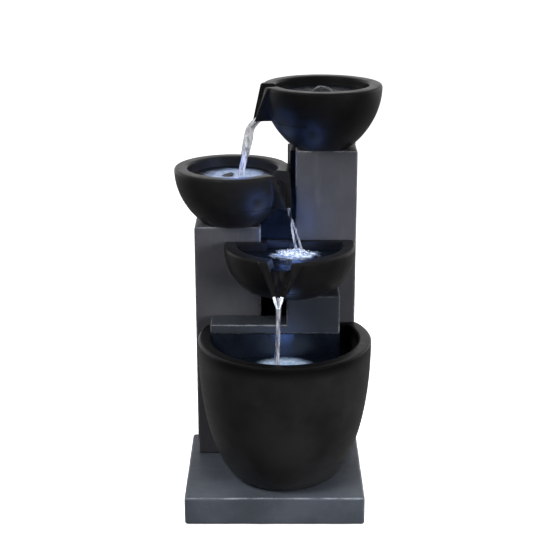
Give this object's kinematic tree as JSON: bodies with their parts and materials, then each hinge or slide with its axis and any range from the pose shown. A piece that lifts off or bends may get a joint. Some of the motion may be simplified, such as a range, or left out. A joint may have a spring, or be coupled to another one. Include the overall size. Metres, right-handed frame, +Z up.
{
  "type": "tabletop water fountain",
  "caption": "Tabletop water fountain: round bowls cascade from two hollow pillars into a deep basin on a plinth, with pump, riser hose and lamps inside.",
  "frame": {"origin": "centre of the object's box in x and y, on the surface it stands on", "axes": "+Z up, front (basin side) towards -Y, tall pillar towards +X"},
  "size_m": [0.251, 0.257, 0.508],
  "materials": {
    "slate_paint": "hand-painted slate grey on cast resin, lighter worn edges",
    "pillar_paint": "hand-painted dark warm grey on cast resin",
    "wet_black": "black, wet",
    "bowl_black": "satin black glaze paint on cast resin",
    "cover_plastic": "moulded, fine grain",
    "fitting_plastic": "moulded",
    "pump_plastic": "moulded",
    "dial_plastic": "moulded",
    "impeller_plastic": "moulded",
    "clip_nylon": "natural nylon",
    "hose_vinyl": "smoke grey, flexible",
    "rubber": "matte",
    "lead_sheath": "smooth",
    "screw_steel": "zinc plated",
    "shaft_ceramic": "polished",
    "foam": "open cell filter foam",
    "lamp_plastic": "moulded",
    "lamp_board": "white board with light chips",
    "lens_clear": "clear, frosted inside"
  },
  "bodies": {
    "fountain": {"base_plinth": "slate_paint", "bottom_cover": "cover_plastic", "rubber_feet": "rubber", "bottom_cover_screws": "screw_steel", "left_column": "pillar_paint", "right_column": "pillar_paint", "centre_spine": "wet_black", "rear_panel": "pillar_paint", "rear_panel_screws": "screw_steel", "cable_gland": "rubber", "basin": "bowl_black", "pump_chamber_wall": "wet_black", "step_block": "slate_paint", "top_bowl": "bowl_black", "second_bowl": "bowl_black", "third_bowl": "bowl_black", "outlet_fitting": "fitting_plastic", "outlet_gasket": "rubber", "outlet_nut": "fitting_plastic", "bubbler_cap": "fitting_plastic", "riser_hose": "hose_vinyl", "hose_clamps": "screw_steel", "pump_body": "pump_plastic", "impeller_cap": "pump_plastic", "impeller_shaft": "shaft_ceramic", "suction_cups": "rubber", "second_lamp_housing": "lamp_plastic", "second_lamp_board": "lamp_board", "second_lamp_lens": "lens_clear", "third_lamp_housing": "lamp_plastic", "third_lamp_board": "lamp_board", "third_lamp_lens": "lens_clear", "basin_lamp_housing": "lamp_plastic", "basin_lamp_board": "lamp_board", "basin_lamp_lens": "lens_clear", "lamp_nuts": "fitting_plastic", "second_lamp_lead": "lead_sheath", "third_lamp_lead": "lead_sheath", "basin_lamp_lead": "lead_sheath", "pump_lead": "lead_sheath", "junction_box": "fitting_plastic", "terminal_strip": "clip_nylon", "junction_lid": "fitting_plastic", "junction_screws": "screw_steel", "cable_clips": "clip_nylon"},
    "rotor": {"impeller": "impeller_plastic"},
    "intake_cover": {"pump_intake_cover": "pump_plastic", "filter_sponge": "foam"},
    "flow_dial": {"flow_dial": "dial_plastic"},
    "door": {"access_door": "pillar_paint", "door_pull": "fitting_plastic"}
  },
  "joints": [
    {"name": "rotor_spin", "type": "hinge", "parent": "fountain", "child": "rotor", "pos_m": [0.0265, 0.0385, 0.094], "axis": [1, 0, 0], "continuous": true},
    {"name": "intake_cover_slide", "type": "slide", "parent": "fountain", "child": "intake_cover", "axis": [-1, 0, 0], "range_m": [0, 0.025]},
    {"name": "flow_dial_turn", "type": "hinge", "parent": "intake_cover", "child": "flow_dial", "pos_m": [-0.0115, 0.0385, 0.094], "axis": [1, 0, 0], "range_deg": [0, 80]},
    {"name": "door_pull_out", "type": "slide", "parent": "fountain", "child": "door", "axis": [0, 1, 0], "range_m": [0, 0.06]}
  ]
}
